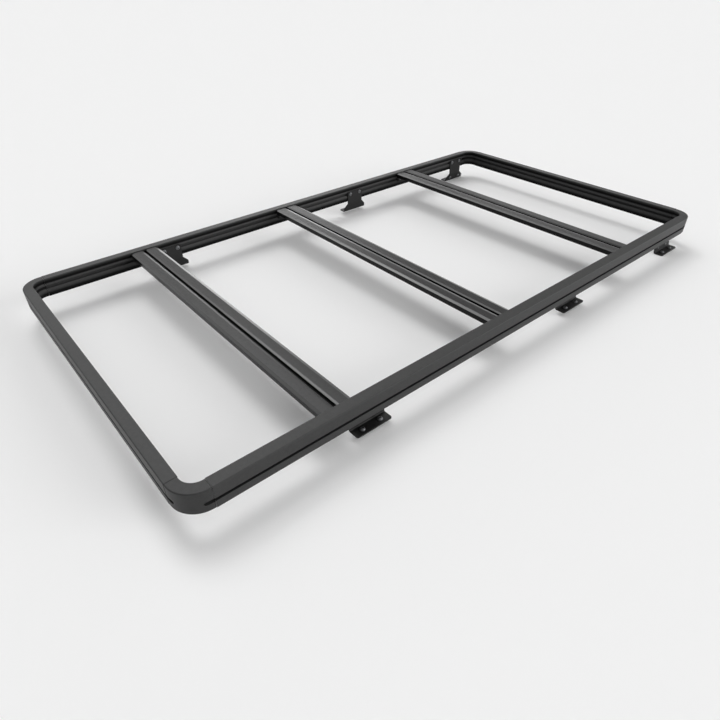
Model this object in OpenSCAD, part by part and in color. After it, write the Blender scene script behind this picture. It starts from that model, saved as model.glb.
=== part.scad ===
// Flat roof rack: a frame of slotted extrusions with cast corners, three slotted crossbars
// and six bent plate feet. Millimetres, +Z up, +X is the vehicle's left, -Y is its front.
// The origin lies under the middle of the frame, at the base of the lowest feet.

/* [Frame] */
// Clear width between the two side rails
inner_width = 1100; // [1000:1:1300]
// Clear length between the front and rear rails
inner_length = 2124; // [2000:1:2400]
// Inner radius of the corner castings
corner_radius = 36; // [32:1:60]
// Straight arm of a casting past its bend
corner_arm = 4; // [3:0.5:12]
// Length of the tongues that a casting pushes into a rail
tongue_length = 40; // [20:1:70]
// Gap left between a casting and a rail
joint_gap = 0.3; // [0.1:0.1:0.8]
// Clearance round a tongue, a nut plate or a bar end
fit_gap = 0.3; // [0.1:0.1:0.4]

/* [Rail profile] */
// Width of a rail, seen from above
rail_width = 32; // [30:0.5:40]
// Height of a rail
rail_height = 64; // [62:0.5:74]
// Wall thickness of the rail's chambers
rail_wall = 2.5; // [1.8:0.1:2.8]
// How far the rail's top falls towards its outer edge
top_fall = 1.4; // [0.2:0.1:2]
// Radius of the outer top edge
crease_radius = 3; // [1:0.5:5]
// Radius of the outer bottom edge and of the inner top edge
edge_radius = 1.5; // [0.5:0.5:2]
// Mouth of the rail's slots, for 8 mm bolts
slot_mouth = 8; // [7.5:0.1:9.2]
// Width of the cavity behind a rail slot's lips
slot_cavity = 14.4; // [13.6:0.1:15.5]
// Thickness of a rail slot's lips
slot_lip = 3.2; // [2.6:0.1:3.6]
// Depth of the cavity behind a rail slot's lips
slot_depth = 6; // [5.6:0.1:6.4]
// Middle of the outer slot, below the rail's top
outer_slot_drop = 39.2; // [37:0.1:42]
// Middle of the inner slot, below the rail's top
inner_slot_drop = 30.5; // [30:0.1:32]
// Middle of the plain groove above the inner slot, below the rail's top
groove_drop = 13.5; // [11:0.5:15]
// Width of the plain groove
groove_width = 7; // [5:0.5:8.5]
// Depth of the plain groove
groove_depth = 3; // [1:0.5:4]
// How far the band above the groove leans in towards the groove
brow_lean = 0.5; // [0.2:0.1:0.8]
// Radius of the bulging rib between the groove and the inner slot
rib_radius = 12; // [10:0.5:20]
// Radius of the bulging lower band of the inner face
belly_radius = 45; // [38:1:60]
// Crest of the lower band, below the rail's top
belly_drop = 44; // [40:0.5:50]

/* [Corner castings] */
// Height of the round-ended entry at the end of each outer slot
entry_height = 10.4; // [9:0.1:13]
// Length of the entry from the end of the casting
entry_length = 24; // [14:1:30]
// How far a casting's faces lie behind the rail's
casting_inset = 0.8; // [0.3:0.1:1]

/* [Crossbars] */
// Width of a crossbar
bar_width = 96; // [86:1:115]
// Height of a crossbar
bar_height = 19; // [18.5:0.1:20]
// Top of a crossbar, below the rail's top
bar_drop = 3; // [1:0.5:3]
// Wall thickness of a crossbar
bar_wall = 2.2; // [1.8:0.1:2.4]
// Width of the sloped band along each edge
bar_edge_width = 9; // [6:0.5:14]
// Fall of the sloped band along each edge
bar_edge_drop = 3; // [2:0.1:3.6]
// Width of the sloped lip beside the middle slot
bar_lip_width = 7; // [4:0.5:9]
// Fall of the sloped lip beside the middle slot
bar_lip_drop = 1.6; // [0.8:0.1:1.9]
// How far each side leans in at the bottom
bar_side_lean = 1; // [0:0.5:6]
// Mouth of the slots in a crossbar
bar_slot_mouth = 9.5; // [8.5:0.1:11]
// Width of the cavity behind a crossbar slot's lips
bar_slot_cavity = 14.4; // [13.6:0.1:16]
// Depth of the cavity behind a crossbar slot's lips
bar_slot_depth = 5; // [4.8:0.1:5.3]
// Middle of the front crossbar, behind the front rail
front_bar_inset = 378; // [340:1:385]
// Middle of the middle crossbar, behind the middle of the frame
middle_bar_offset = -78; // [-150:1:0]
// Middle of the rear crossbar, ahead of the rear rail
rear_bar_inset = 466; // [350:1:560]

/* [Crossbar brackets] */
// Thickness of a crossbar bracket's plate
bracket_plate = 4; // [3:0.5:5]
// Width of the leg that is bolted to the rail
bracket_width = 80; // [76:1:84]
// Height of the leg that is bolted to the rail
bracket_height = 22; // [18:1:30]
// Width of the tab that is bolted under the crossbar
tab_width = 38; // [30:1:40]
// Reach of the tab under the crossbar
tab_length = 46; // [40:1:70]
// Distance between the two bolts in the rail
bracket_bolt_spacing = 58; // [56:1:60]
// Diameter of a crossbar bracket's holes in the leg
bracket_hole = 6.6; // [5.5:0.1:7]
// Diameter of the hole in the tab
tab_hole = 9; // [8.4:0.1:10]
// Radius of the bracket's outer corners
bracket_corner = 5; // [2:0.5:6]

/* [Feet] */
// Thickness of a foot's plate
foot_plate = 4; // [3:0.5:6]
// Inner radius of a bend in a plate
bend_radius = 3; // [1:0.5:4]
// Top edge of a foot, below the rail's top
foot_top_drop = 19; // [17:0.5:20]
// Width of a foot's top edge
foot_top_width = 80; // [76:1:92]
// Width of a foot's neck at its bend
foot_neck_width = 78; // [72:1:90]
// Width of a rear foot's neck at its bend
rear_neck_width = 71; // [66:1:82]
// Width of a foot's base
foot_base_width = 116; // [110:1:130]
// Height of the upright sides of the wide part
foot_base_height = 17; // [14:0.5:20]
// Height of the bend above the base
foot_bend_height = 36; // [30:0.5:42]
// How far the part below the bend leans out
foot_lean = 5; // [3:0.5:10]
// Reach of the flange past the leaning part
foot_flange = 30; // [26:0.5:40]
// Radius of the foot's outer corners
foot_corner = 6; // [3:0.5:8]
// Distance between the two bolts in the rail
foot_bolt_spacing = 52; // [44:1:52]
// Distance between the two bolts in the base
foot_base_spacing = 58; // [50:1:76]
// Height of the rear feet's two holes in the wide part
side_hole_height = 15; // [14:0.5:20]
// Diameter of a foot's holes
foot_hole = 9; // [8.4:0.1:10.4]
// Clear height under the rail at the front feet
front_stand = 44; // [42:1:56]
// Clear height under the rail at the middle feet
middle_stand = 44; // [42:1:56]
// Clear height under the rail at the rear feet
rear_stand = 57; // [56:1:80]
// Middle of the front feet, behind the front rail
front_foot_inset = 472; // [470:1:520]
// Middle of the middle feet, behind the middle of the frame
middle_foot_offset = 288; // [200:1:334]
// Middle of the rear feet, ahead of the rear rail
rear_foot_inset = 106; // [104:1:220]

/* [Nut plates] */
// Thickness of a nut plate
nut_plate = 4.5; // [4:0.1:4.7]
// Length of a nut plate past its threaded holes
nut_overhang = 11; // [8:0.5:11]
// Threaded hole for a foot's or a tab's bolt
nut_hole = 6.8; // [6.2:0.1:7]
// Threaded hole for a crossbar bracket's bolt
small_nut_hole = 5; // [4.4:0.1:5.4]

/* [Hidden] */
$fn = 48;

black_coat = [0.10, 0.10, 0.105];
black_cast = [0.12, 0.12, 0.125];
black_plate = [0.06, 0.06, 0.065];
zinc = [0.55, 0.56, 0.58];

// Past a face, so that a cut leaves no skin
cut_over = 1;
half_width = inner_width / 2;
half_length = inner_length / 2;
rail_base = max(front_stand, middle_stand, rear_stand);
rail_top = rail_base + rail_height;
corner_reach = corner_radius + corner_arm + joint_gap;
side_rail_length = inner_length - 2 * corner_reach;
end_rail_length = inner_width - 2 * corner_reach;

inner_slot_v = rail_height - inner_slot_drop;
outer_slot_v = rail_height - outer_slot_drop;
groove_v = rail_height - groove_drop;
slot_inset = slot_lip + slot_depth;
rib_v = (groove_v - groove_width / 2 + inner_slot_v + slot_mouth / 2) / 2;
belly_v = rail_height - belly_drop;
belly_inset = belly_radius - sqrt(pow(belly_radius, 2) - pow(belly_v, 2));

chamber_low_u = belly_inset + rail_wall;
chamber_high_u = groove_depth + rail_wall;
chamber_out_u = rail_width - rail_wall;
chamber_low_top = min(inner_slot_v, outer_slot_v) - slot_cavity / 2 - rail_wall;
chamber_high_base = max(inner_slot_v, outer_slot_v) + slot_cavity / 2 + rail_wall;
chamber_top = rail_height - top_fall - rail_wall;

bar_base = rail_top - bar_drop - bar_height;
bar_length = inner_width - 2 * fit_gap;
front_bar_y = front_bar_inset - half_length;
rear_bar_y = half_length - rear_bar_inset;
front_foot_y = front_foot_inset - half_length;
rear_foot_y = half_length - rear_foot_inset;
inner_slot_z = rail_base + inner_slot_v;
tab_hole_x = half_width - (bracket_plate + tab_length) / 2;
nut_width = slot_cavity - 2 * fit_gap;
bar_nut_width = bar_slot_cavity - 2 * fit_gap;

// Square corner at the origin that a round of radius r doesn't fill
module corner_waste(r) {
    difference() {
        translate([-cut_over, -cut_over]) square(r + cut_over);
        translate([r, r]) circle(r);
    }
}

// Rectangle from the origin, with its own radius at each corner, clockwise from the lower left
module soft_block(w, h, low_left, high_left, high_right, low_right) {
    difference() {
        square([w, h]);
        corner_waste(low_left);
        translate([0, h]) mirror([0, 1]) corner_waste(high_left);
        translate([w, h]) rotate(180) corner_waste(high_right);
        translate([w, 0]) mirror([1, 0]) corner_waste(low_right);
    }
}

// Slot with lips, its mouth at the origin and its cavity towards +X
module lipped_slot(mouth, cavity, lip, depth) {
    translate([-cut_over, -mouth / 2]) square([lip + depth + cut_over, mouth]);
    translate([lip, -cavity / 2]) square([depth, cavity]);
}

// What a round band between two heights leaves of a flat face at X = 0, its crest at that face
module bulge_waste(radius, crest, low, high) {
    difference() {
        translate([-cut_over, low]) square([radius + cut_over, high - low]);
        translate([radius, crest]) circle(radius, $fn = 2 * $fn);
    }
}

// All that the bands and the groove leave of a flat inner face at X = 0
module inner_face_waste() {
    brow_low = groove_v + groove_width / 2;
    brow_top = rail_height - edge_radius;
    bulge_waste(belly_radius, belly_v, -cut_over, inner_slot_v - slot_mouth / 2);
    bulge_waste(rib_radius, rib_v, inner_slot_v + slot_mouth / 2, groove_v - groove_width / 2);
    translate([-cut_over, groove_v - groove_width / 2])
        square([groove_depth + cut_over, groove_width]);
    polygon([[-cut_over, brow_top], [0, brow_top], [brow_lean, brow_low], [-cut_over, brow_low]]);
}

// Section of a rail without its slots and chambers, its faces set back by inset. Its top falls
// towards the outer face.
module rail_outline(inset = 0) {
    width = rail_width - 2 * inset;
    height = rail_height - 2 * inset;
    slope = atan2(top_fall, rail_width);
    difference() {
        translate([inset, inset])
            soft_block(width, height, edge_radius, edge_radius, edge_radius, edge_radius);
        translate([inset, 0]) inner_face_waste();
        translate([inset, inset + height]) rotate(-slope)
            square([rail_width + cut_over, top_fall + cut_over]);
        translate([inset + width, inset + height - (width - crease_radius) * tan(slope)])
            rotate(180) corner_waste(crease_radius);
    }
}

module rail_chamber() {
    translate([chamber_low_u, rail_wall])
        square([chamber_out_u - chamber_low_u, chamber_low_top - rail_wall]);
    translate([slot_inset + rail_wall, rail_wall])
        square([rail_width - 2 * (slot_inset + rail_wall), chamber_top - rail_wall]);
    translate([chamber_high_u, chamber_high_base])
        square([chamber_out_u - chamber_high_u, chamber_top - chamber_high_base]);
}

module rail_section() {
    difference() {
        rail_outline();
        translate([0, inner_slot_v]) lipped_slot(slot_mouth, slot_cavity, slot_lip, slot_depth);
        translate([rail_width, outer_slot_v]) mirror([1, 0])
            lipped_slot(slot_mouth, slot_cavity, slot_lip, slot_depth);
        rail_chamber();
    }
}

// Rail along Y with its inner face at X = inset
module rail(inset, length) {
    color(black_coat)
        translate([inset, length / 2, rail_base]) rotate([90, 0, 0])
            linear_extrude(length) rail_section();
}

module side_rail() rail(half_width, side_rail_length);

module end_rail() rotate(90) rail(half_length, end_rail_length);

module corner_section() {
    difference() {
        rail_outline(casting_inset);
        translate([-cut_over, inner_slot_v - slot_mouth / 2])
            square([slot_lip + cut_over, slot_mouth]);
    }
}

module tongue_section() {
    translate([chamber_low_u + fit_gap, rail_wall + fit_gap])
        square([chamber_out_u - chamber_low_u - 2 * fit_gap,
                chamber_low_top - rail_wall - 2 * fit_gap]);
    translate([chamber_high_u + fit_gap, chamber_high_base + fit_gap])
        square([chamber_out_u - chamber_high_u - 2 * fit_gap,
                chamber_top - chamber_high_base - 2 * fit_gap]);
}

// One arm of a casting, from the end of its bend towards -Y, with its two tongues
module corner_leg() {
    translate([corner_radius, 0, 0]) rotate([90, 0, 0]) {
        linear_extrude(corner_arm) corner_section();
        linear_extrude(corner_reach - corner_radius + tongue_length) tongue_section();
    }
}

// Round-ended pocket in the outer face that leads into the rail's outer slot
module slot_entry() {
    round_end = entry_height / 2;
    translate([corner_radius + rail_width - slot_inset, -corner_arm, outer_slot_v])
        rotate([90, 0, 90]) {
            translate([-cut_over, -round_end, 0])
                cube([entry_length - round_end + cut_over, entry_height, rail_width]);
            translate([entry_length - round_end, 0, 0]) cylinder(h = rail_width, r = round_end);
        }
}

// Casting for the corner at +X, +Y
module corner() {
    color(black_cast)
        translate([half_width - corner_radius, half_length - corner_radius, rail_base])
            difference() {
                union() {
                    rotate_extrude(angle = 90, $fn = 4 * $fn)
                        translate([corner_radius, 0]) corner_section();
                    corner_leg();
                    mirror([1, -1, 0]) corner_leg();
                }
                slot_entry();
                mirror([1, -1, 0]) slot_entry();
            }
}

module bar_outline() {
    half = bar_width / 2;
    mouth = bar_slot_mouth / 2;
    right_side = [
        [half - bar_side_lean, 0],
        [half, bar_height - 2 * bar_edge_drop],
        [half, bar_height - bar_edge_drop],
        [half - bar_edge_width, bar_height],
        [mouth + bar_lip_width, bar_height],
        [mouth, bar_height - bar_lip_drop]
    ];
    left_side = [for (i = [len(right_side) - 1:-1:0]) [-right_side[i][0], right_side[i][1]]];
    polygon(concat(right_side, left_side));
}

// Chamber beside the slots, on the +X side
module bar_chamber() {
    half = bar_width / 2;
    near = bar_slot_cavity / 2 + bar_wall;
    far = half - bar_side_lean - bar_wall;
    side = half - bar_wall;
    top = bar_height - bar_lip_drop - bar_wall;
    polygon([
        [near, bar_wall],
        [far, bar_wall],
        [side, bar_height - 2 * bar_edge_drop],
        [side, bar_height - bar_edge_drop - bar_wall],
        [half - bar_edge_width - bar_wall, top],
        [near, top]
    ]);
}

module bar_section() {
    difference() {
        bar_outline();
        translate([0, bar_height - bar_lip_drop]) rotate(-90)
            lipped_slot(bar_slot_mouth, bar_slot_cavity, bar_wall, bar_slot_depth);
        rotate(90) lipped_slot(bar_slot_mouth, bar_slot_cavity, bar_wall, bar_slot_depth);
        bar_chamber();
        mirror([1, 0]) bar_chamber();
    }
}

module crossbar(y) {
    color(black_coat)
        translate([-bar_length / 2, y, bar_base]) rotate([90, 0, 90])
            linear_extrude(bar_length) bar_section();
}

// Angle under a crossbar's end, bolted to the left rail's inner slot
module bracket(y) {
    color(black_plate)
        translate([half_width, y, bar_base])
            difference() {
                union() {
                    translate([-bracket_plate, -bracket_width / 2, -bracket_height])
                        rotate([90, 0, 90]) linear_extrude(bracket_plate)
                            soft_block(bracket_width, bracket_height,
                                       bracket_corner, 1, 1, bracket_corner);
                    translate([-tab_length, -tab_width / 2, -bracket_plate])
                        linear_extrude(bracket_plate)
                            soft_block(tab_length, tab_width,
                                       bracket_corner, bracket_corner, 1, 1);
                    translate([-bracket_plate, tab_width / 2, -bracket_plate])
                        rotate([90, 0, 0]) linear_extrude(tab_width)
                            rotate(180) corner_waste(bend_radius);
                }
                for (side = [-1, 1])
                    translate([-bracket_plate - cut_over, side * bracket_bolt_spacing / 2,
                               inner_slot_z - bar_base])
                        rotate([0, 90, 0])
                            cylinder(h = bracket_plate + 2 * cut_over, d = bracket_hole);
                translate([tab_hole_x - half_width, 0, -bracket_plate - cut_over])
                    cylinder(h = bracket_plate + 2 * cut_over, d = tab_hole);
            }
}

// Outline of a foot seen from inside the rack. It runs on below the base, so that the base's
// corners stay square.
module foot_face(height, neck_width) {
    offset(r = -foot_corner) offset(r = 2 * foot_corner) offset(delta = -foot_corner)
        polygon([
            [-foot_base_width / 2, -2 * foot_corner],
            [foot_base_width / 2, -2 * foot_corner],
            [foot_base_width / 2, foot_base_height],
            [neck_width / 2, foot_bend_height],
            [foot_top_width / 2, height],
            [-foot_top_width / 2, height],
            [-neck_width / 2, foot_bend_height],
            [-foot_base_width / 2, foot_base_height]
        ]);
}

// All that lies outward of a foot's inner surface, seen from its end: the rail's inner face is
// at X = 0 and the base at Y = 0
module foot_side(height) {
    outer_radius = foot_plate + bend_radius;
    past = 4 * outer_radius;
    reach = foot_lean + foot_flange;
    offset(r = outer_radius) offset(delta = -outer_radius)
        polygon([
            [-foot_plate, height + past],
            [-foot_plate, foot_bend_height],
            [foot_lean - foot_plate, 0],
            [reach + past, 0],
            [reach + past, height + past]
        ]);
}

// Bent plate seen from its end
module foot_bend(height) {
    difference() {
        intersection() {
            foot_side(height);
            translate([-foot_plate, 0]) square([foot_plate + foot_lean + foot_flange, height]);
        }
        offset(delta = -foot_plate) foot_side(height);
    }
}

// Foot on the left rail, its base at rail_base - stand
module foot(y, stand, neck_width, side_holes = false) {
    height = stand + rail_height - foot_top_drop;
    reach = foot_lean + foot_flange;
    color(black_plate)
        translate([half_width, y, rail_base - stand])
            difference() {
                intersection() {
                    translate([0, foot_base_width / 2, 0]) rotate([90, 0, 0])
                        linear_extrude(foot_base_width) foot_bend(height);
                    translate([-foot_plate - cut_over, 0, 0]) rotate([90, 0, 90])
                        linear_extrude(reach + foot_plate + 2 * cut_over)
                            foot_face(height, neck_width);
                    translate([-foot_plate, -foot_base_width / 2, 0])
                        linear_extrude(height)
                            soft_block(reach + foot_plate, foot_base_width,
                                       1, 1, foot_corner, foot_corner);
                }
                for (side = [-1, 1]) {
                    translate([-foot_plate - cut_over, side * foot_bolt_spacing / 2,
                               stand + inner_slot_v])
                        rotate([0, 90, 0])
                            cylinder(h = foot_plate + 2 * cut_over, d = foot_hole);
                    translate([foot_lean + foot_flange / 2, side * foot_base_spacing / 2, -cut_over])
                        cylinder(h = foot_plate + 2 * cut_over, d = foot_hole);
                    if (side_holes)
                        translate([-foot_plate - cut_over, side * foot_base_spacing / 2,
                                   side_hole_height])
                            rotate([0, 90, 0])
                                cylinder(h = foot_lean + foot_plate + 2 * cut_over, d = foot_hole);
                }
            }
}

module front_foot() foot(front_foot_y, front_stand, foot_neck_width);

module middle_foot() foot(middle_foot_offset, middle_stand, foot_neck_width);

module rear_foot() foot(rear_foot_y, rear_stand, rear_neck_width, true);

// Nut plate in the left rail's inner slot, against the back of the slot's lips
module rail_nut(y, spacing, hole) {
    length = spacing + 2 * nut_overhang;
    color(zinc)
        translate([half_width + slot_lip, y, inner_slot_z])
            difference() {
                translate([0, -length / 2, -nut_width / 2]) cube([nut_plate, length, nut_width]);
                for (side = [-1, 1])
                    translate([-cut_over, side * spacing / 2, 0]) rotate([0, 90, 0])
                        cylinder(h = nut_plate + 2 * cut_over, d = hole);
            }
}

// Nut plate in a crossbar's lower slot, over the left tab's hole
module tab_nut(y) {
    color(zinc)
        translate([tab_hole_x, y, bar_base + bar_wall])
            difference() {
                translate([-nut_overhang, -bar_nut_width / 2, 0])
                    cube([2 * nut_overhang, bar_nut_width, nut_plate]);
                translate([0, 0, -cut_over]) cylinder(h = nut_plate + 2 * cut_over, d = nut_hole);
            }
}

module on_right() mirror([1, 0, 0]) children();

module at_front() mirror([0, 1, 0]) children();

side_rail();  // rail_left
on_right() side_rail();  // rail_right
at_front() end_rail();  // rail_front
end_rail();  // rail_rear
at_front() corner();  // corner_front_left
on_right() at_front() corner();  // corner_front_right
corner();  // corner_rear_left
on_right() corner();  // corner_rear_right
crossbar(front_bar_y);  // crossbar_front
crossbar(middle_bar_offset);  // crossbar_middle
crossbar(rear_bar_y);  // crossbar_rear
bracket(front_bar_y);  // bracket_front_left
on_right() bracket(front_bar_y);  // bracket_front_right
bracket(middle_bar_offset);  // bracket_middle_left
on_right() bracket(middle_bar_offset);  // bracket_middle_right
bracket(rear_bar_y);  // bracket_rear_left
on_right() bracket(rear_bar_y);  // bracket_rear_right
front_foot();  // foot_front_left
on_right() front_foot();  // foot_front_right
middle_foot();  // foot_middle_left
on_right() middle_foot();  // foot_middle_right
rear_foot();  // foot_rear_left
on_right() rear_foot();  // foot_rear_right
rail_nut(front_foot_y, foot_bolt_spacing, nut_hole);  // foot_nut_front_left
on_right() rail_nut(front_foot_y, foot_bolt_spacing, nut_hole);  // foot_nut_front_right
rail_nut(middle_foot_offset, foot_bolt_spacing, nut_hole);  // foot_nut_middle_left
on_right() rail_nut(middle_foot_offset, foot_bolt_spacing, nut_hole);  // foot_nut_middle_right
rail_nut(rear_foot_y, foot_bolt_spacing, nut_hole);  // foot_nut_rear_left
on_right() rail_nut(rear_foot_y, foot_bolt_spacing, nut_hole);  // foot_nut_rear_right
rail_nut(front_bar_y, bracket_bolt_spacing, small_nut_hole);  // bracket_nut_front_left
on_right() rail_nut(front_bar_y, bracket_bolt_spacing, small_nut_hole);  // bracket_nut_front_right
rail_nut(middle_bar_offset, bracket_bolt_spacing, small_nut_hole);  // bracket_nut_middle_left
on_right() rail_nut(middle_bar_offset, bracket_bolt_spacing, small_nut_hole);  // bracket_nut_middle_right
rail_nut(rear_bar_y, bracket_bolt_spacing, small_nut_hole);  // bracket_nut_rear_left
on_right() rail_nut(rear_bar_y, bracket_bolt_spacing, small_nut_hole);  // bracket_nut_rear_right
tab_nut(front_bar_y);  // tab_nut_front_left
on_right() tab_nut(front_bar_y);  // tab_nut_front_right
tab_nut(middle_bar_offset);  // tab_nut_middle_left
on_right() tab_nut(middle_bar_offset);  // tab_nut_middle_right
tab_nut(rear_bar_y);  // tab_nut_rear_left
on_right() tab_nut(rear_bar_y);  // tab_nut_rear_right
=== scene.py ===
# %% [markdown]
# A flat roof rack: a frame of slotted aluminium rails with cast corners, three wide crossbars
# and six bent plate feet, all in black powder coat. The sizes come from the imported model, which
# is loaded first and never moved, and every new piece is set against it.

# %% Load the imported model
import math

import bmesh
import bpy
from mathutils import Euler, Matrix, Vector


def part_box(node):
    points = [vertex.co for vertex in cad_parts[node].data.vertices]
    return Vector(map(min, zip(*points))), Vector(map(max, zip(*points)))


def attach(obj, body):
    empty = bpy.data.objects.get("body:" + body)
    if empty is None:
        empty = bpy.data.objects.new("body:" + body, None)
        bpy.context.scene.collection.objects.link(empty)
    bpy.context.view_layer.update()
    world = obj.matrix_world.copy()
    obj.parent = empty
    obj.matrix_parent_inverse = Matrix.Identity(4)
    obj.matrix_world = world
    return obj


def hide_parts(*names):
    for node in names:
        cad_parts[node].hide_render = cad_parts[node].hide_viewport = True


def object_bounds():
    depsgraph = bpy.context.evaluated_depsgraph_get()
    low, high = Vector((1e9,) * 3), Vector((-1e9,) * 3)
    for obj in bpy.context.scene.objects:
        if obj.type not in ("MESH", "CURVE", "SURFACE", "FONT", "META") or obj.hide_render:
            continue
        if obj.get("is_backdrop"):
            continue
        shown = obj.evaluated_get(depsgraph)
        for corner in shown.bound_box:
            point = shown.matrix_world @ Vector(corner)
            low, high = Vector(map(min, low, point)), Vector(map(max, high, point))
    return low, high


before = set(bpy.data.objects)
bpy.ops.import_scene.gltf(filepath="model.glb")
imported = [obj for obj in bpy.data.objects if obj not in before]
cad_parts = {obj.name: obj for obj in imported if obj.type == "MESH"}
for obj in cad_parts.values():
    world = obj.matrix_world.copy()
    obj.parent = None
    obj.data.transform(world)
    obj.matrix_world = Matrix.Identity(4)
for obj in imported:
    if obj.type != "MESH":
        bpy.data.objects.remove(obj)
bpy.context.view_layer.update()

MM = 0.001

# %% [markdown]
# Some measures are needed again and again: how high the rails lie, where the crossbars and feet
# are. They could be typed in a second time, but a box read from the model can't disagree with it.

# %% Measures read from the model
SIDES = {"left": 1, "right": -1}
ROWS = ("front", "middle", "rear")
RAIL_LOW, RAIL_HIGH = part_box("rail_left")
BAR_LOW, BAR_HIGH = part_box("crossbar_middle")
RAIL_IN = RAIL_LOW.x


def middle(node, axis):
    """Middle of a node's box along one axis, in metres."""
    low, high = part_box(node)
    return (low[axis] + high[axis]) / 2


FOOT_Y = {row: middle(f"foot_{row}_left", 1) for row in ROWS}
BAR_Y = {row: middle(f"crossbar_{row}", 1) for row in ROWS}
print("rail top", round(RAIL_HIGH.z, 4), "m, feet along Y", {row: round(y, 3) for row, y in FOOT_Y.items()})

# %% [markdown]
# The camera stands where the photographer's did. Its place and lens were solved from the four
# straight inner edges of the frame, which are level and square to each other, so the drawn rack
# falls on the photographed one without any shift.

# %% Camera
CAMERA_AT = Vector((1.3343, -1.2650, 0.9834))
CAMERA_HEADING = math.radians(50.08)
CAMERA_FALL = math.radians(36.88)
CAMERA_ROLL = math.radians(-0.56)
LENS_MM = 27.76
SENSOR_MM = 36

camera_data = bpy.data.cameras.new("camera")
camera_data.lens = LENS_MM
camera_data.sensor_width = SENSOR_MM
camera = bpy.data.objects.new("camera", camera_data)
bpy.context.scene.collection.objects.link(camera)
camera.location = CAMERA_AT
turn = Euler((math.pi / 2 - CAMERA_FALL, 0, CAMERA_HEADING), "XYZ").to_matrix()
camera.rotation_euler = (turn @ Matrix.Rotation(CAMERA_ROLL, 3, "Z")).to_euler()
bpy.context.scene.camera = camera
bpy.context.scene.view_settings.view_transform = "Standard"
print("camera at", [round(v, 3) for v in CAMERA_AT], "lens", LENS_MM, "mm")

# %% [markdown]
# A finish is worked out anew at every point of a surface, by nodes that pass values along links.
# Sums of such values read best as plain Python, so this small class wraps a node's output, and
# adding, multiplying or comparing two of them adds the Math node that does it.

# %% Values of a shader


class Value:
    """A number that a shader works out at each point of a surface."""

    def __init__(self, shade, socket):
        self.shade = shade
        self.socket = socket

    def maths(self, operation, first, second):
        made = self.shade.node("ShaderNodeMath", {0: first, 1: second}, operation=operation)
        return made.out("Value")

    def __add__(self, other):
        return self.maths("ADD", self, other)

    def __sub__(self, other):
        return self.maths("SUBTRACT", self, other)

    def __rsub__(self, other):
        return self.maths("SUBTRACT", other, self)

    def __mul__(self, other):
        return self.maths("MULTIPLY", self, other)

    def __lt__(self, other):
        return self.maths("LESS_THAN", self, other)

    def __gt__(self, other):
        return self.maths("GREATER_THAN", self, other)

    def __abs__(self):
        return self.maths("ABSOLUTE", self, 0)

    __radd__ = __add__
    __rmul__ = __mul__


print("shader values can be added, multiplied and compared")

# %% [markdown]
# Every other kind of node comes from one method, which takes the node's kind, its settings and
# the values or links of its sockets. The short methods after it give what the finishes share:
# noise of a size in millimetres, a blend of two colours, a bump and the shader itself. A Mix
# node has several sockets of the same name, so its colours go by their numbers.

# %% Builder of materials
MIX_SHARE = 0
MIX_FIRST = 6
MIX_SECOND = 7
MIX_RESULT = 2


class Node:
    """A shader node whose outputs are asked for by name or number."""

    def __init__(self, shade, made):
        self.shade = shade
        self.made = made

    def out(self, name):
        return Value(self.shade, self.made.outputs[name])


class Shade:
    """A material or sky under construction, read at the places of the named coordinates."""

    def __init__(self, owner, coordinates="Object"):
        owner.use_nodes = True
        self.owner = owner
        self.tree = owner.node_tree
        self.tree.nodes.clear()
        self.place = self.node("ShaderNodeTexCoord").out(coordinates)

    def node(self, kind, sockets=None, stops=None, **settings):
        made = self.tree.nodes.new(kind)
        for name, value in settings.items():
            setattr(made, name, value)
        for index, (at, colour) in enumerate(stops or []):
            if index > 1:
                made.color_ramp.elements.new(at)
            made.color_ramp.elements[index].position = at
            made.color_ramp.elements[index].color = colour
        for name, value in (sockets or {}).items():
            if isinstance(value, Value):
                self.tree.links.new(value.socket, made.inputs[name])
            else:
                made.inputs[name].default_value = value
        return Node(self, made)

    def noise(self, size_mm, detail=2.0):
        """Noise whose grains are about size_mm across."""
        scale = [1 / (size_mm * MM)] * 3
        mapped = self.node("ShaderNodeMapping", {"Vector": self.place, "Scale": scale})
        sockets = {"Vector": mapped.out("Vector"), "Scale": 1.0, "Detail": detail}
        return self.node("ShaderNodeTexNoise", sockets).out("Fac")

    def blend(self, share, first, second):
        """Colour that goes from first to second as share goes from 0 to 1."""
        sockets = {MIX_SHARE: share, MIX_FIRST: (*first, 1), MIX_SECOND: (*second, 1)}
        return self.node("ShaderNodeMix", sockets, data_type="RGBA").out(MIX_RESULT)

    def bump(self, height, depth_mm):
        sockets = {"Height": height, "Distance": depth_mm * MM, "Strength": 1.0}
        return self.node("ShaderNodeBump", sockets).out("Normal")

    def finish(self, **sockets):
        """Closes the material. Base_Color and the like set or link the shader's sockets."""
        named = {key.replace("_", " "): value for key, value in sockets.items()}
        shader = self.node("ShaderNodeBsdfPrincipled", named).out("BSDF")
        self.node("ShaderNodeOutputMaterial", {"Surface": shader})
        return self.owner


def new_shade(name):
    return Shade(bpy.data.materials.new(name))


print("builder of materials ready")
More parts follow.
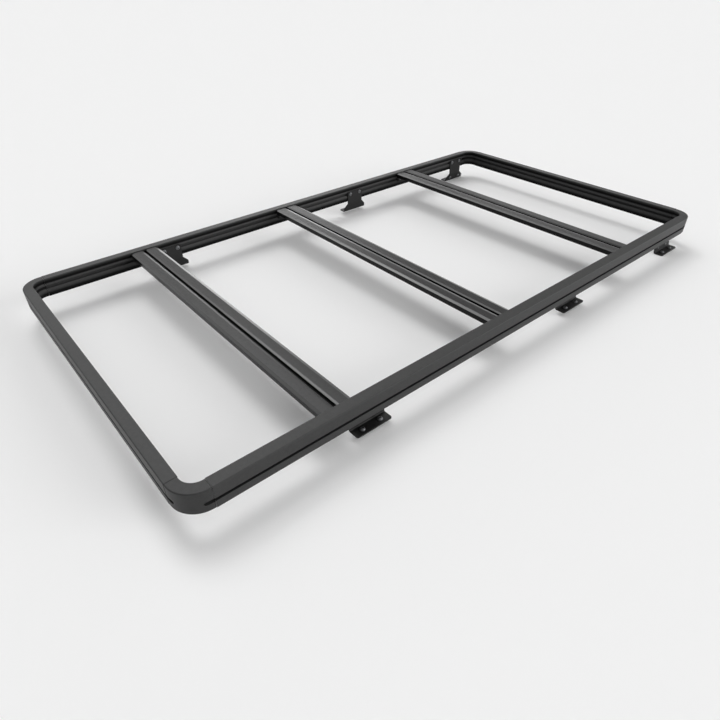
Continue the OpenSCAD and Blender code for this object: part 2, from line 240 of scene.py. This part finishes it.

# %% [markdown]
# The rails' inner faces are all folds, and shade is painted into them. A share from 0 to 1 sets it:
# full on the lower band and the rib, which keep their sheen as a painted highlight, little on the
# narrow band under the top, and next to none in the slot, the groove and the tucked in base, which
# are painted nearly black and without sheen. It could be painted by hand, but every fold runs
# level, so a ramp over the height gives it exactly.

# %% Painted shade in the folds
# Stops over the rail's height, each with its share of painted shade: 0 paints the fold dark and dull.
FOLD_PAINTED_SHADE = [(0.0, 0.0), (0.18, 0.0), (0.33, 1.0), (0.44, 1.0), (0.47, 0.1), (0.58, 0.1), (0.62, 1.0),
              (0.71, 1.0), (0.75, 0.0), (0.84, 0.0), (0.88, 0.2), (0.93, 0.4), (0.96, 1.0)]
# The crossbars get painted shade in the slot and down the sides, and full sheen only on top.
BAR_PAINTED_SHADE = [(0.0, 0.25), (0.8, 0.15), (0.82, 1.0), (1.0, 1.0)]
INNER_SKIN = 8 * MM
INNER_X = RAIL_IN + INNER_SKIN
INNER_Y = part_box("rail_rear")[0].y + INNER_SKIN


def ramp_up(shade, stops, low, high):
    """Share that follows the stops between two heights in metres."""
    up = shade.node("ShaderNodeSeparateXYZ", {"Vector": shade.place}).out("Z")
    grey = [(at, (share,) * 3 + (1,)) for at, share in stops]
    height = (up - low) * (1 / (high - low))
    return shade.node("ShaderNodeValToRGB", {"Fac": height}, stops=grey).out("Color")


def rail_painted_shade(shade):
    """Painted shade on a rail or casting: 1 outside, less in the folds of its inner face."""
    split = shade.node("ShaderNodeSeparateXYZ", {"Vector": shade.place})
    inside = (abs(split.out("X")) < INNER_X) * (abs(split.out("Y")) < INNER_Y)
    return 1 - inside * (1 - ramp_up(shade, FOLD_PAINTED_SHADE, RAIL_LOW.z, RAIL_HIGH.z))


def bar_painted_shade(shade):
    """Painted shade on a crossbar: 1 on its top, less in the slot and down the sides."""
    return ramp_up(shade, BAR_PAINTED_SHADE, BAR_LOW.z, BAR_HIGH.z)


print("folds of the rails between", round(RAIL_LOW.z, 4), "and", round(RAIL_HIGH.z, 4), "m")

# %% [markdown]
# Once melted in the oven, the powder keeps a fine sandy grain and a slow waviness, so it shows
# light as a soft sheen and not as a mirror image. Two noises make it: the fine one is the bump,
# and both together shift colour and roughness a little. The sheen is a thin second layer on top.
# Where the painted shade is low, the base colour is darkened and the sheen fades, which paints
# shade into folds and leaves painted highlights on what stays open. The crossbars are extruded
# smoother than the rails, so their coat is glossier, and the castings keep some of the mould's sand.

# %% Powder coat
GRAIN_MM = 0.9
GRAIN_DETAIL = 3
GRAIN_PART = 0.65
CLOUD_MM = 9.0
CLOUD_PART = 0.35
ROUGH_LEAST = 0.85
ROUGH_SWING = 0.3


def powder_coat(name, dark, light, rough, gloss, grain_depth=0.05, sheen=0.0, painted_shade_at=None):
    """Powder coat in greys from dark to light with a grain in mm, and a sheen; the last argument paints
    shade by darkening the colour and thinning the sheen.
    """
    shade = new_shade(name)
    grain = shade.noise(GRAIN_MM, detail=GRAIN_DETAIL)
    cloud = shade.noise(CLOUD_MM)
    mix = grain * GRAIN_PART + cloud * CLOUD_PART
    # share is painted shade: low values darken the base colour and thin the sheen.
    share = painted_shade_at(shade) if painted_shade_at else 1.0
    return shade.finish(
        Base_Color=shade.blend(mix * share, (dark,) * 3, (light,) * 3),
        Roughness=(mix * ROUGH_SWING + ROUGH_LEAST) * rough,
        Specular_IOR_Level=gloss,
        Coat_Weight=share * sheen,
        Coat_Roughness=rough,
        Normal=shade.bump(grain, grain_depth),
    )


# The rail, casting and crossbar coats carry painted shade in their folds, slots and sides.
COAT = {
    "rail": powder_coat("rail_coat", dark=0.006, light=0.054, rough=0.55, gloss=0.05,
                        grain_depth=0.05, sheen=0.78, painted_shade_at=rail_painted_shade),
    "bar": powder_coat("bar_coat", dark=0.005, light=0.024, rough=0.28, gloss=0.05,
                       grain_depth=0.02, sheen=0.8, painted_shade_at=bar_painted_shade),
    "cast": powder_coat("casting_coat", dark=0.006, light=0.05, rough=0.55, gloss=0.05,
                        grain_depth=0.08, sheen=0.74, painted_shade_at=rail_painted_shade),
    "plate": powder_coat("plate_coat", dark=0.008, light=0.018, rough=0.46, gloss=0.3),
}
print("powder coats", sorted(COAT))

# %% [markdown]
# The bolts are zinc plated steel: metal dulled by the plating's fine crystals, and a little darker
# in patches where it was handled. The side rails were sawn to length after coating, so their ends
# are bare aluminium, and a hair of it shows above the casting at each joint. Both are metal with
# fine scratches or crystals, so one function makes them from two greys.

# %% Zinc and bare aluminium
PATCH_MM = 3.0
CRYSTAL_MM = 0.4
CRYSTAL_DETAIL = 4
CRYSTAL_DEPTH = 0.01
CRYSTAL_ROUGH = 0.2


def bare_metal(name, dark, light, rough):
    """Dull metal whose colour wanders from dark to light in patches."""
    shade = new_shade(name)
    patch = shade.noise(PATCH_MM)
    crystal = shade.noise(CRYSTAL_MM, detail=CRYSTAL_DETAIL)
    return shade.finish(
        Base_Color=shade.blend(patch, dark, light),
        Roughness=crystal * CRYSTAL_ROUGH + rough,
        Metallic=1.0,
        Normal=shade.bump(crystal, CRYSTAL_DEPTH),
    )


ZINC = bare_metal("zinc_plate", (0.13, 0.134, 0.14), (0.26, 0.264, 0.272), 0.36)
BARE = bare_metal("sawn_aluminium", (0.5, 0.5, 0.5), (0.7, 0.7, 0.7), 0.4)
print("metals", ZINC.name, "and", BARE.name)

# %% [markdown]
# A sawn or pressed edge is never a perfect corner: the coat rounds it and it catches a line of
# light. The model's solids have true corners, so each coated piece starts as a copy of its solid,
# whose loose triangles are merged into flat faces. Only then can a narrow bevel run along an
# edge, and every slot and hole stays where it is.

# %% Copies with narrow bevels
MERGE = 0.002 * MM
FLAT_ANGLE = math.radians(0.5)
SHARP_ANGLE = math.radians(30)
BEVEL_SEGMENTS = 2
END_SKIN = 0.05 * MM
STRAIGHT = 0.99


def merged(node):
    """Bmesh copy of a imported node, with whole flat faces in place of triangles."""
    mesh = bmesh.new()
    mesh.from_mesh(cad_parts[node].data)
    bmesh.ops.remove_doubles(mesh, verts=mesh.verts, dist=MERGE)
    bmesh.ops.dissolve_limit(mesh, verts=mesh.verts, edges=mesh.edges, angle_limit=FLAT_ANGLE,
                             use_dissolve_boundaries=False, delimit={"NORMAL"})
    return mesh


def bare_ends(mesh):
    """Gives the second material to the faces at both ends along Y."""
    reach = max(vert.co.y for vert in mesh.verts) - END_SKIN
    for face in mesh.faces:
        if abs(face.calc_center_median().y) > reach and abs(face.normal.y) > STRAIGHT:
            face.material_index = 1


def bevelled(mesh, width_mm):
    """Rounds the sharp edges inwards, so the piece grows nowhere."""
    sharp = [e for e in mesh.edges if e.is_manifold and e.calc_face_angle(0) > SHARP_ANGLE]
    bmesh.ops.bevel(mesh, geom=sharp, offset=width_mm * MM, offset_type="OFFSET", affect="EDGES",
                    segments=BEVEL_SEGMENTS, profile=0.5, material=-1, clamp_overlap=True)


print("bevels of", BEVEL_SEGMENTS, "segments on edges over", round(math.degrees(SHARP_ANGLE)), "degrees")

# %% [markdown]
# A smooth bevel bends the light on the flat face beside it, and the face then looks pillowed.
# Normals weighted by area let a wide flat face mirror like a flat one, right up to its bevel,
# and the soft folds of an extrusion are kept as creases.

# %% Side and end rails
CREASE_ANGLE = math.radians(15)
AREA_WEIGHT = 100
SAWN = ("rail_left", "rail_right")


def eased(node, width_mm, material):
    """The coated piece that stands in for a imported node."""
    mesh = merged(node)
    if node in SAWN:
        bare_ends(mesh)
    bevelled(mesh, width_mm)
    for face in mesh.faces:
        face.smooth = True
    data = bpy.data.meshes.new(f"{node}_coated")
    mesh.to_mesh(data)
    mesh.free()
    piece = bpy.data.objects.new(f"{node}_coated", data)
    bpy.context.scene.collection.objects.link(piece)
    data.materials.append(material)
    if node in SAWN:
        data.materials.append(BARE)
    data.set_sharp_from_angle(angle=CREASE_ANGLE)
    flats = piece.modifiers.new("flat faces", "WEIGHTED_NORMAL")
    flats.weight = AREA_WEIGHT
    flats.keep_sharp = True
    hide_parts(node)
    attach(piece, "root")
    return piece


def coated(nodes, width_mm, material):
    """Coated pieces for several nodes, all in one material slot."""
    made = [eased(node, width_mm, material) for node in nodes]
    faces = sum(len(piece.data.polygons) for piece in made)
    print(len(made), "pieces in", material.name, "with", faces, "faces")


coated([f"rail_{end}" for end in ("left", "right", "front", "rear")], 0.5, COAT["rail"])

# %% [markdown]
# The castings, crossbars, brackets and feet are dressed in the same way, each with its own coat
# and its own edge: a casting is rounder than an extrusion, and a laser cut plate is crisper.

# %% Castings, crossbars, brackets and feet
CORNERS = [f"corner_{end}_{side}" for end in ("front", "rear") for side in SIDES]
coated(CORNERS, 0.8, COAT["cast"])
coated([f"crossbar_{row}" for row in ROWS], 0.4, COAT["bar"])
PLATES = [f"{kind}_{row}_{side}" for kind in ("foot", "bracket") for row in ROWS for side in SIDES]
coated(PLATES, 0.4, COAT["plate"])

# %% [markdown]
# The nut plates sit inside the slots and hardly show. Their solids already have the right shape,
# so they keep their own meshes and only get the zinc finish.

# %% Nut plates
NUTS = [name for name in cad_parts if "_nut_" in name]
for name in NUTS:
    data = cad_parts[name].data
    data.materials.clear()
    data.materials.append(ZINC)
print(len(NUTS), "nut plates in zinc")

# %% [markdown]
# A button head bolt is a turned part, so its head comes from half a profile spun round its axis.
# The socket's ring is then pulled onto a hexagon, which costs no extra faces. The washer is one
# more step in the profile, because nobody sees the hair's breadth between the two.

# %% One bolt
TURNS = 24
BOLT_8 = {"head": 7.0, "rise": 3.8, "socket": 3.0, "shank": 4.0, "washer": 8.0, "washer_rise": 1.6}
BOLT_6 = {"head": 5.25, "rise": 3.0, "socket": 2.2, "shank": 3.0, "washer": 5.25, "washer_rise": 0.0}
SOCKET_DEPTH = 0.8
SOCKET_LIP = 0.5
HEAD_WALL = 0.6
DOME_ANGLES = [math.radians(angle) for angle in (45, 30, 15, 0)]
WELD = 0.001 * MM
TOUCH = 0.01 * MM


def spun(profile):
    """Turned body from half a profile of (radius, height) points in mm, on the Z axis."""
    mesh = bmesh.new()
    verts = [mesh.verts.new((r * MM, 0, z * MM)) for r, z in profile]
    edges = [mesh.edges.new(pair) for pair in zip(verts, verts[1:])]
    bmesh.ops.spin(mesh, geom=verts + edges, cent=(0, 0, 0), axis=(0, 0, 1), dvec=(0, 0, 0),
                   angle=2 * math.pi, steps=TURNS, use_merge=True, use_duplicate=False)
    bmesh.ops.remove_doubles(mesh, verts=mesh.verts, dist=WELD)
    return mesh


def onto_hexagon(vert, flat):
    """Moves a point out from its circle to a hexagon whose flats are that far from the axis."""
    angle = math.atan2(vert.co.y, vert.co.x)
    off = (angle + math.pi / 6) % (math.pi / 3) - math.pi / 6
    vert.co.xy = vert.co.xy.normalized() * flat / math.cos(off)


def bolt(size, length_mm):
    """Bolt and washer at the origin, head up, with its shank down to a length."""
    base = size["washer_rise"]
    top = base + size["rise"]
    floor = top - SOCKET_DEPTH * size["rise"]
    dome = [(size["head"] * math.cos(a), base + HEAD_WALL + (size["rise"] - HEAD_WALL) * math.sin(a))
            for a in DOME_ANGLES]
    washer = [(size["washer"], base), (size["washer"], 0)] if base else []
    profile = [(0, floor), (size["socket"], floor), (size["socket"], top),
               (size["socket"] + SOCKET_LIP, top), *dome, (size["head"], base), *washer,
               (size["shank"], 0), (size["shank"], -length_mm), (0, -length_mm)]
    mesh = spun(profile)
    for vert in mesh.verts:
        if abs(vert.co.xy.length - size["socket"] * MM) < TOUCH and vert.co.z > 0:
            onto_hexagon(vert, size["socket"] * MM)
    bmesh.ops.recalc_face_normals(mesh, faces=mesh.faces)
    return mesh


print("bolt sizes, head radius in mm", BOLT_8["head"], BOLT_6["head"])

# %% [markdown]
# Each foot has two bolts into the rail's slot and two through its flange, and a rear foot has two
# more in the wide part that leans out below its bend. A bolt is made upright at the origin, and a
# matrix sets it in its hole. The heights and distances are the solid's own, so the heads lie on
# the plate round the holes. The bolts of a foot are one piece, because they never move apart.

# %% Bolts of the feet
FOOT_PLATE = 4 * MM
FOOT_RAIL_SPACING = 52 * MM
FOOT_BASE_SPACING = 58 * MM
FOOT_HOLE_X = 20 * MM
FOOT_LEAN = 5 * MM
FOOT_BEND = 36 * MM
SIDE_HOLE_UP = 15 * MM
THREAD_MM = 11
slot_z = middle("foot_nut_front_left", 2)
side_x = RAIL_IN - FOOT_PLATE + FOOT_LEAN * (1 - SIDE_HOLE_UP / FOOT_BEND)


def bolt_set(name, size, places):
    """One piece of several bolts. A place is (point in metres, direction of the head, length in mm)."""
    joined = bpy.data.meshes.new(name)
    whole = bmesh.new()
    for at, way, length_mm in places:
        one = bolt(size, length_mm)
        turned = Vector(way).to_track_quat("Z", "X").to_matrix().to_4x4()
        bmesh.ops.transform(one, matrix=Matrix.Translation(at) @ turned, verts=one.verts)
        one.to_mesh(joined)
        whole.from_mesh(joined)
        one.free()
    for face in whole.faces:
        face.smooth = True
    whole.to_mesh(joined)
    whole.free()
    joined.set_sharp_from_angle(angle=SHARP_ANGLE)
    joined.materials.append(ZINC)
    piece = bpy.data.objects.new(name, joined)
    bpy.context.scene.collection.objects.link(piece)
    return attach(piece, "root")


for row in ROWS:
    for side, sign in SIDES.items():
        low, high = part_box(f"foot_{row}_{side}")
        places = []
        for way in (-1, 1):
            rail_y = FOOT_Y[row] + way * FOOT_RAIL_SPACING / 2
            base_y = FOOT_Y[row] + way * FOOT_BASE_SPACING / 2
            upright = Vector((sign * (RAIL_IN - FOOT_PLATE), rail_y, slot_z))
            places.append((upright, (-sign, 0, 0), THREAD_MM))
            flange = Vector((sign * (RAIL_IN + FOOT_HOLE_X), base_y, low.z + FOOT_PLATE))
            places.append((flange, (0, 0, 1), FOOT_PLATE / MM))
            if row == "rear":
                leaning = Vector((sign * side_x, base_y, low.z + SIDE_HOLE_UP))
                places.append((leaning, (-sign * FOOT_BEND, 0, -FOOT_LEAN), FOOT_PLATE / MM))
        bolt_set(f"foot_{row}_{side}_bolts", BOLT_8, places)
print("bolts on", len(SIDES) * len(ROWS), "feet")

# %% [markdown]
# Under each end of a crossbar, two smaller bolts hold the bracket's leg to the rail and one
# holds its tab to the bar. They are seen only from below, but a rack is often seen from there.

# %% Bolts of the crossbar brackets
BRACKET_PLATE = 4 * MM
BRACKET_SPACING = 58 * MM
TAB_HOLE_IN = 25 * MM
LEG_THREAD_MM = 10
TAB_THREAD_MM = 9

for row in ROWS:
    for side, sign in SIDES.items():
        leg_x = sign * (RAIL_IN - BRACKET_PLATE)
        ends = [BAR_Y[row] + way * BRACKET_SPACING / 2 for way in (-1, 1)]
        legs = [(Vector((leg_x, y, slot_z)), (-sign, 0, 0), LEG_THREAD_MM) for y in ends]
        bolt_set(f"bracket_{row}_{side}_leg_bolts", BOLT_6, legs)
        under = Vector((sign * (RAIL_IN - TAB_HOLE_IN), BAR_Y[row], BAR_LOW.z - BRACKET_PLATE))
        bolt_set(f"bracket_{row}_{side}_tab_bolt", BOLT_8, [(under, (0, 0, -1), TAB_THREAD_MM)])
print("bolts on", len(SIDES) * len(ROWS), "brackets")

# %% [markdown]
# The rack stands on a plain pale floor that runs to the horizon. A black object needs something
# bright to mirror in its edges and little light from below, or its shape drowns in grey. So the
# floor is white for the camera and for reflections, where it also keeps the rack's shadow, and
# only a third as bright where it would throw light up at the rack.

# %% Floor
FLOOR_HALF = 40
FLOOR_SEEN = 0.97
FLOOR_BOUNCE = 0.3
FLOOR_ROUGH = 0.9

floor_mesh = bmesh.new()
bmesh.ops.create_grid(floor_mesh, x_segments=1, y_segments=1, size=FLOOR_HALF)
floor_data = bpy.data.meshes.new("floor")
floor_mesh.to_mesh(floor_data)
floor_mesh.free()
floor = bpy.data.objects.new("floor", floor_data)
bpy.context.scene.collection.objects.link(floor)
floor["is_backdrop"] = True

floor_shade = new_shade("floor_paint")
rays = floor_shade.node("ShaderNodeLightPath")
seen = rays.out("Is Camera Ray") + rays.out("Is Glossy Ray") + rays.out("Is Transmission Ray")
tone = floor_shade.blend(seen, (FLOOR_BOUNCE,) * 3, (FLOOR_SEEN,) * 3)
paint = floor_shade.finish(Base_Color=tone, Roughness=FLOOR_ROUGH, Specular_IOR_Level=0.0)
floor_data.materials.append(paint)
print("floor", 2 * FLOOR_HALF, "m wide")

# %% [markdown]
# The sky is a studio in one ramp from the horizon to straight overhead: pale walls, a dim part
# half way up, which the flat tops mirror, and a little more light from the ceiling. It fills
# every side, so the back of the rack isn't lost.

# %% Sky
SKY_STOPS = [(0.0, 0.85), (0.12, 0.62), (0.35, 0.42), (0.6, 0.4), (0.8, 0.5), (1.0, 0.55)]

world = bpy.data.worlds.new("sky")
bpy.context.scene.world = world
sky = Shade(world, "Generated")
height = sky.node("ShaderNodeSeparateXYZ", {"Vector": sky.place}).out("Z")
greys = [(at, (share,) * 3 + (1,)) for at, share in SKY_STOPS]
ramp = sky.node("ShaderNodeValToRGB", {"Fac": height}, stops=greys)
walls = sky.node("ShaderNodeBackground", {"Color": ramp.out("Color"), "Strength": 1.0})
sky.node("ShaderNodeOutputWorld", {"Surface": walls.out("Background")})
print("sky with", len(SKY_STOPS), "stops")

# %% [markdown]
# Wide suns stand in for soft boxes, because a sun never gets into a picture taken from another
# side. Flat black tops mirror the dim part of the sky between them. The boxes high at the back
# and left draw the pale line along each slope of the crossbars, the two low ones turn the tops
# of the far rails silver, and a wide one at the right opens up the near sides.

# %% Suns


def soft_sun(name, heading, height, spread, strength):
    """Sun seen from the rack at a heading from +X towards +Y and a height, all in degrees."""
    data = bpy.data.lights.new(name, "SUN")
    data.angle = math.radians(spread)
    data.energy = strength
    lamp = bpy.data.objects.new(name, data)
    bpy.context.scene.collection.objects.link(lamp)
    flat = math.cos(math.radians(height))
    towards = Vector((flat * math.cos(math.radians(heading)), flat * math.sin(math.radians(heading)),
                      math.sin(math.radians(height))))
    lamp.rotation_euler = towards.to_track_quat("Z", "Y").to_euler()


soft_sun("low_back", heading=146, height=4, spread=24, strength=0.42)
soft_sun("low_far", heading=122, height=2, spread=22, strength=0.16)
soft_sun("high_back", heading=154, height=58, spread=26, strength=0.6)
soft_sun("tall_back", heading=164, height=45, spread=18, strength=0.33)
soft_sun("high_left", heading=184, height=40, spread=30, strength=0.2)
soft_sun("low_right", heading=35, height=14, spread=40, strength=1.8)
print("suns", sorted(lamp.name for lamp in bpy.data.lights))

# %% [markdown]
# The last cell prints how large the visual model is. The two boxes should agree to a fraction of
# a millimetre, because nothing here may outgrow the construction.

# %% Sizes
seen = [list(corner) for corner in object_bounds()]
print("visual box", [[round(v, 4) for v in corner] for corner in seen])
